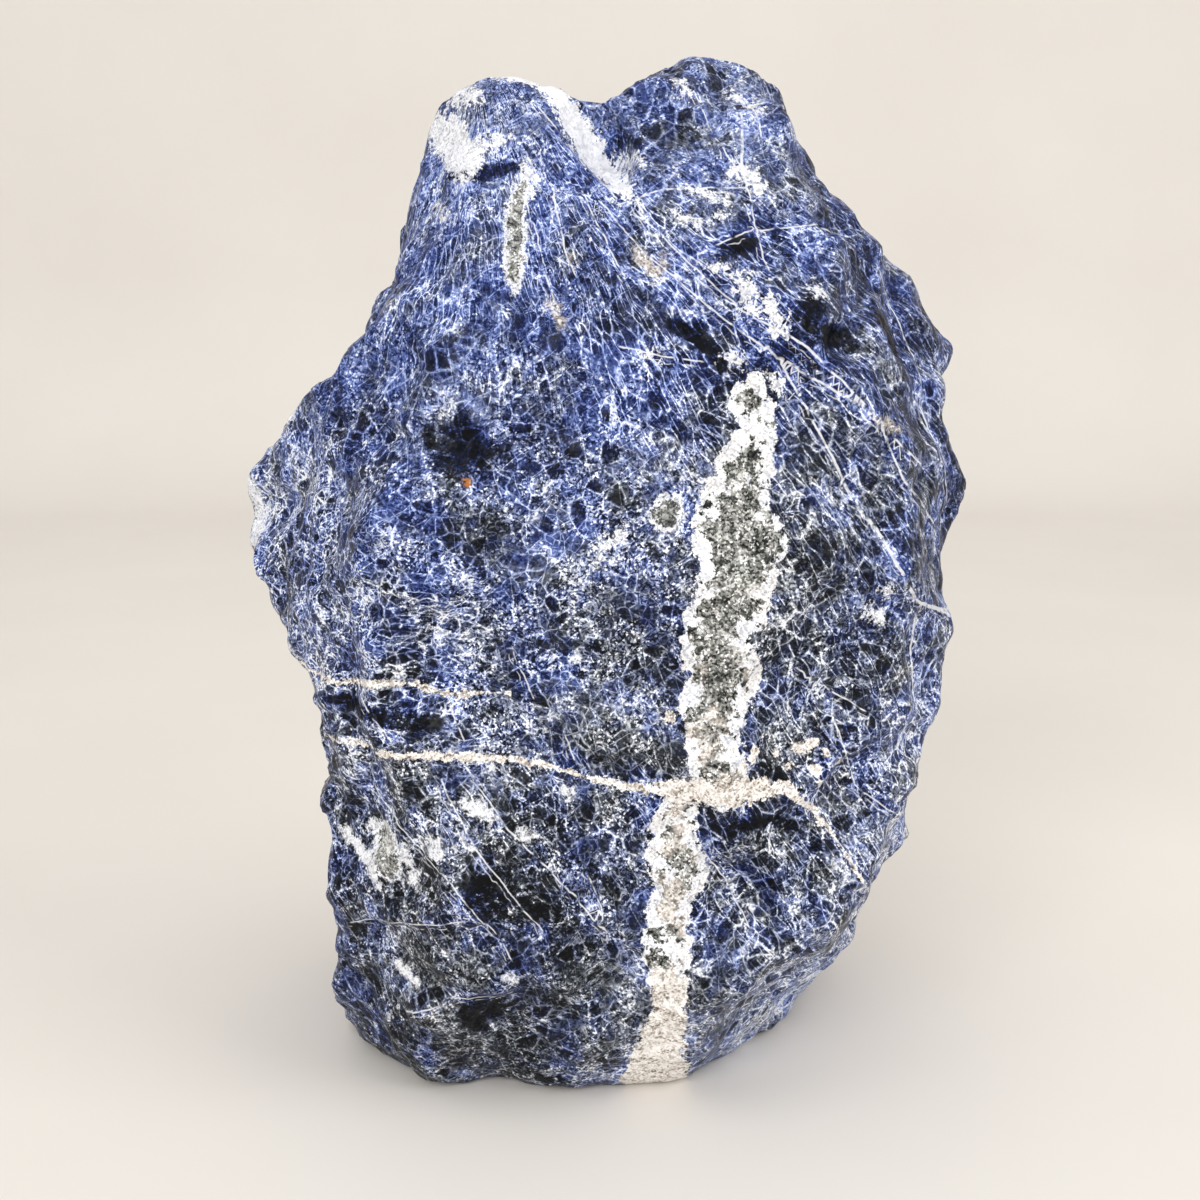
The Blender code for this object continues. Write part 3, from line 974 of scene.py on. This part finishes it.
fan_lines = sheets(axis(fanned(bent(here, 12.0, 2.6, 3.0), 1.0), "X"), 1.2)
fan_lines = fan_lines * noise(fanned(loose, 4.0), 2.6, 2.0).above(0.44, 0.56) * fan
across_fan = family((0.45, -0.2, 0.9), 3.0, 16.0, 7.0, 0.5, 23.0) * fan
slant_lines = family((0.87, 0.15, 0.5), 2.2, 14.0, 6.0, 0.45, 11.0) * slant
up_right = family((-0.6, 0.2, 0.8), 3.6, 12.0, 7.0, 0.48, 37.0)
lying = family((0.08, 0.3, 1.0), 2.2, 12.0, 6.0, 0.48, 41.0) * (0.3 + level * 0.7)
upright = family((1.0, 0.3, 0.12), 4.0, 10.0, 6.0, 0.5, 59.0)
seam = fan_lines.higher(across_fan * 0.8).higher(slant_lines).higher(up_right * 0.7)
seam = seam.higher(lying * 0.7).higher(upright * 0.7)
shown = noise(vector("ADD", loose, (30.0, 0.0, 0.0)), 3.6, 2.0)
wide_net = edge.below(0.03, 0.16) * shown.above(0.42, 0.54)
fine_net = to_edge(loose, 1.2).below(0.02, 0.12) * shown.below(0.42, 0.56)
run_net = (fan_edge.below(0.03, 0.14) * fan).higher(slant_edge.below(0.03, 0.14) * slant)
run_net = run_net.higher(level_edge.below(0.03, 0.14) * level) * noise(loose, 2.4, 2.0).above(0.36, 0.52)
round_net = (wide_net * 0.32).higher(fine_net * 0.27) * (1.0 - fan * 0.6)
veining = round_net.higher(run_net * 0.42).higher(seam * 0.5)
# Painted shade in the hollows: the colour is darkened and the pale veins thinned there.
hollow_shade = (stored("hollow_shade") + (noise(here, 3.0, 2.0) - 0.5) * 4.0).below(-2.0, 0.8)
# Painted shadow along the shadow strokes: the colour is darkened and the pale veins thinned there.
shadow = (stored("shadow") + (noise(here, 1.6, 2.0) - 0.5) * 2.0).below(-0.6, 0.5)
veining = veining * (1.0 - calm * 0.4) * (1.0 - hollow_shade.higher(shadow) * 0.6)
tone = tone + edge.below(0.0, 0.6) * 0.06 + veining * (0.7 + axis(crumb, "Z") * 0.5)
# Painted shade: the tone is lowered in the hollows and along the shadow strokes.
tone = tone - (hollow_shade * 0.3).higher(shadow * 0.34)
tone = tone * 1.12 - 0.025
halo = stored("fine_away").below(0.2, 2.6) * noise(loose, 3.0, 3.0, 0.65).above(0.4, 0.65)
tone = tone + halo * 0.07
blue = blue + halo * 0.35 + veil * 0.25
body = mixed(blue.above(0.0, 1.0), toned(tone, GREYS), toned(tone, BLUES))
brown = (stored("brown") + (noise(here, 5.0, 3.0) - 0.5) * 1.4).above(0.3, 0.9) * 0.8
body = mixed(brown, body, toned(tone, BROWNS))

# Its marked veins, bands and spots. Their edges are worn ragged by noise.
wear = (noise(here, 1.9, 4.0, 0.7) - 0.5) * 3.0
fine_wear = (noise(here, 0.7, 3.0, 0.75) - 0.5) * 1.6
wander = (noise(here, 2.6, 2.0) - 0.5) * 0.7
seen = noise(here, 2.2, 2.0)
fine_side = stored("fine_side") + wander
near_fine = stored("fine_away").below(0.7, 1.1)
fine_vein = (fine_side.size() - stored("fine_width")).below(-0.04, 0.1) * near_fine * seen.above(0.36, 0.52)
twin = (stored("fine_side") + wander * 2.2 - 0.8).size().below(0.03, 0.14)
twin = twin * stored("fine_away").below(1.2, 1.8)
body = mixed(fine_vein.higher(twin * seen.above(0.46, 0.58) * 0.7) * 0.75, body, CHALK)

white_grains = toned(0.96 + crumbs_and_glints * 0.55 + fine_wear * 0.08, GREYS)
spoiled = (noise(vector("ADD", here, (0.0, 0.0, 20.0)), 2.2, 4.0, 0.7) - 0.5) * 2.0
cream_grains = toned(0.76 + crumbs_and_glints + spoiled.lower(0.1) + fine_wear * 0.3, TANS)
lumps = (noise(here, 1.5, 3.0, 0.65) - 0.5) * 1.1
lumps = lumps + (noise(vector("ADD", here, (9.0, 0.0, 0.0)), 4.5, 2.0) - 0.5) * 1.1
band_grains = toned(0.42 + crumbs_and_glints * 0.95 + lumps, BANDS)
rim_grains = mixed((broad * 2.4).above(-0.2, 0.5) * 0.6, white_grains, toned(0.86 + crumbs_and_glints * 0.7, TANS))
tan_grains = toned(0.6 + crumbs_and_glints * 0.9 + broad * 0.5, TANS)
warmth = stored("warm") + (noise(here, 5.0, 2.0) - 0.5) * 2.5
inside = mixed(warmth.above(0.4, 0.9), band_grains, tan_grains)
teeth = (noise(here, 3.0, 4.0, 0.7) - 0.5) * 17.0
rim = (stored("band") + teeth).above(-2.1, -1.7)
lobes = (noise(here, 3.4, 2.0) - 0.5) * 4.5
band_gap = stored("band") + lobes + wear * 1.1 + fine_wear * 1.2
body = mixed(band_gap.below(-0.1, 0.08), body, mixed(rim, inside, rim_grains))
calcite_gap = stored("calcite") + lobes * 0.8 + wear * 1.6 + fine_wear * 1.6
body = mixed(calcite_gap.below(-0.1, 0.1), body, cream_grains)
cream_gap = (stored("cream_side") + wander).size() - stored("cream_width") + wear * 0.7 + fine_wear * 0.9
cream_gap = cream_gap + (noise(here, 1.4, 3.0, 0.65) - 0.5) * stored("cream_width") * 1.8
cream_gap = cream_gap.higher(stored("cream_away") - 3.0)
cream_gap = cream_gap.lower(stored("cream_spots") + wear + fine_wear * 0.7)
body = mixed(cream_gap.below(-0.05, 0.1), body, cream_grains)
fray = (axis(chip, "Y") - 0.5) * 1.5 + (axis(crumb, "Z") - 0.5) * 1.1 - veining * 0.8
white_gap = stored("white") + wear * 1.4 + fine_wear * 1.2
white_gap = white_gap + fray * (0.3 + axis(here, "Z").above(52.0, 70.0) * 0.7)
body = mixed(white_gap.below(-0.5, 0.3) * 0.94, body, mixed(brown, white_grains, cream_grains))
saddle_gap = stored("saddle") + wear * 1.4 + fine_wear * 1.2 + fray * 0.5
body = mixed(saddle_gap.below(-0.2, 0.2), body, toned(1.0 + crumbs_and_glints * 0.3, GREYS))
ring_gap = stored("rings") + wear * 0.7 + fine_wear * 0.8 + fray * 0.35
body = mixed(ring_gap.below(-0.3, 0.2) * 0.95, body, mixed(brown, white_grains, cream_grains))
ring_core = mixed(brown, band_grains, toned(0.22 + crumbs_and_glints * 0.8 + broad * 0.4, TANS))
body = mixed((ring_gap + wear * 0.3).below(-0.9, -0.5) * 0.95, body, ring_core)
body = mixed((stored("tan") + wear * 1.4 + fine_wear * 0.6).below(-0.8, 0.4) * 0.8, body, tan_grains)
body = mixed((stored("rust") + fine_wear * 0.5).below(-0.1, 0.2), body, RUST_COLOUR)

# Relief finer than the skin's grid: crystals and chips are small flats, each with a tilt and a level of its
# own, and crumbs roughen them.


def tilted(size, colour):
    """The height of the flats of cells of that size: the place counted in cells, less the millimetres of the
    cell's middle, times its random colour less a half and the size. The first gives a cell its tilt, and the
    second its level."""
    lean = vector("SUBTRACT", colour, (0.5, 0.5, 0.5))
    way = vector("SUBTRACT", vector("SCALE", ragged, 1.0 / size), in_cell(ragged, size, "Position"))
    return vector("DOT_PRODUCT", way, lean, "Value") * size


height = tilted(GRAIN, grain) * 0.8 + tilted(CHIP, chip) * 0.7 + axis(crumb, "X") * 0.08
bump = Wire.node("ShaderNodeBump", {}, {"Strength": 0.9, "Distance": 0.5 * MM, "Height": height}, "Normal")
Wire.tree.links.new(body.socket, surface.inputs["Base Color"])
Wire.tree.links.new(bump.socket, surface.inputs["Normal"])
polish = 0.26 + axis(chip, "Z") * 0.2 + veining.above(0.2, 0.6) * 0.3
Wire.tree.links.new(polish.socket, surface.inputs["Roughness"])
surface.inputs["Specular IOR Level"].default_value = 0.13
stone.data.materials.clear()
stone.data.materials.append(rock)
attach(stone, "root")
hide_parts("sodalite")

# The table, the camera and the light. A plain pale table curves up into a wall of the same colour, far enough
# behind to stay out of the way. It is lit by a broad lamp overhead, one in front on the left, one on the
# right and a pale room. The camera stands close in front of the stone and looks down at it a little.
TABLE_HALF_WIDTH = 1.6
TABLE_FRONT = -0.9
WALL_AT = 0.55
WALL_HEIGHT = 1.5
BEND_RADIUS = 0.12


def backdrop_profile():
    """The table's edge-on line: level, a quarter circle of BEND_RADIUS, then upright."""
    turn = np.linspace(0.0, math.pi / 2, 24)
    bend = np.stack([WALL_AT + BEND_RADIUS * np.sin(turn), BEND_RADIUS * (1 - np.cos(turn))], axis=1)
    wall = (WALL_AT + BEND_RADIUS, WALL_HEIGHT)
    return np.concatenate([[(TABLE_FRONT, 0.0)], bend, [wall]])


line = backdrop_profile()
left = np.column_stack([np.full(len(line), -TABLE_HALF_WIDTH), line])
right = np.column_stack([np.full(len(line), TABLE_HALF_WIDTH), line])
first = np.arange(len(line) - 1)
strips = np.stack([first, first + len(line), first + len(line) + 1, first + 1], axis=1)
table_mesh = bpy.data.meshes.new("table")
table_mesh.from_pydata(np.concatenate([left, right]).tolist(), [], strips.tolist())
table_mesh.shade_smooth()
table = bpy.data.objects.new("table", table_mesh)
bpy.context.scene.collection.objects.link(table)
plaster = bpy.data.materials.new("pale_table")
plaster.use_nodes = True
Wire.tree = plaster.node_tree
top = plaster.node_tree.nodes["Principled BSDF"]
spread = Wire.node("ShaderNodeTexCoord", {}, {}, "Object")
cloud = Wire.node("ShaderNodeTexNoise", {}, {"Vector": spread, "Scale": 9.0, "Detail": 3.0}, 0)
table_colour = mixed(cloud, shade(224, 218, 209), shade(234, 229, 222))
Wire.tree.links.new(table_colour.socket, top.inputs["Base Color"])
top.inputs["Roughness"].default_value = 0.75
table.data.materials.append(plaster)

CAMERA_AT = (0.0, -266.9 * MM, 130.1 * MM)
CAMERA_PITCH = math.radians(12.0)
FIELD_OF_VIEW = math.radians(40.0)
SENSOR = 36.0
camera_data = bpy.data.cameras.new("camera")
camera_data.sensor_width = SENSOR
camera_data.lens = SENSOR / 2 / math.tan(FIELD_OF_VIEW / 2)
camera_data.clip_start = 0.01
camera = bpy.data.objects.new("camera", camera_data)
camera.location = CAMERA_AT
camera.rotation_euler = (math.pi / 2 - CAMERA_PITCH, 0.0, 0.0)
bpy.context.scene.collection.objects.link(camera)
bpy.context.scene.camera = camera


def lamp(name, place, power, width):
    """A square soft lamp aimed at the middle of the stone."""
    data = bpy.data.lights.new(name, "AREA")
    data.energy = power
    data.size = width
    obj = bpy.data.objects.new(name, data)
    obj.location = place
    aim = Vector((0.0, 0.0, HIGH[2] / 2 * MM)) - obj.location
    obj.rotation_euler = aim.to_track_quat("-Z", "Y").to_euler()
    bpy.context.scene.collection.objects.link(obj)


lamp("overhead_lamp", (-0.2, -0.1, 1.4), 5.0, 1.2)
lamp("front_lamp", (-0.3, -0.9, 0.5), 6.0, 0.6)
lamp("right_lamp", (0.8, -0.35, 0.55), 3.4, 0.6)
world = bpy.data.worlds.new("pale_room")
bpy.context.scene.world = world
world.use_nodes = True
world.node_tree.nodes["Background"].inputs["Color"].default_value = shade(250, 250, 252)
world.node_tree.nodes["Background"].inputs["Strength"].default_value = 0.55
bpy.context.scene.view_settings.view_transform = "Standard"
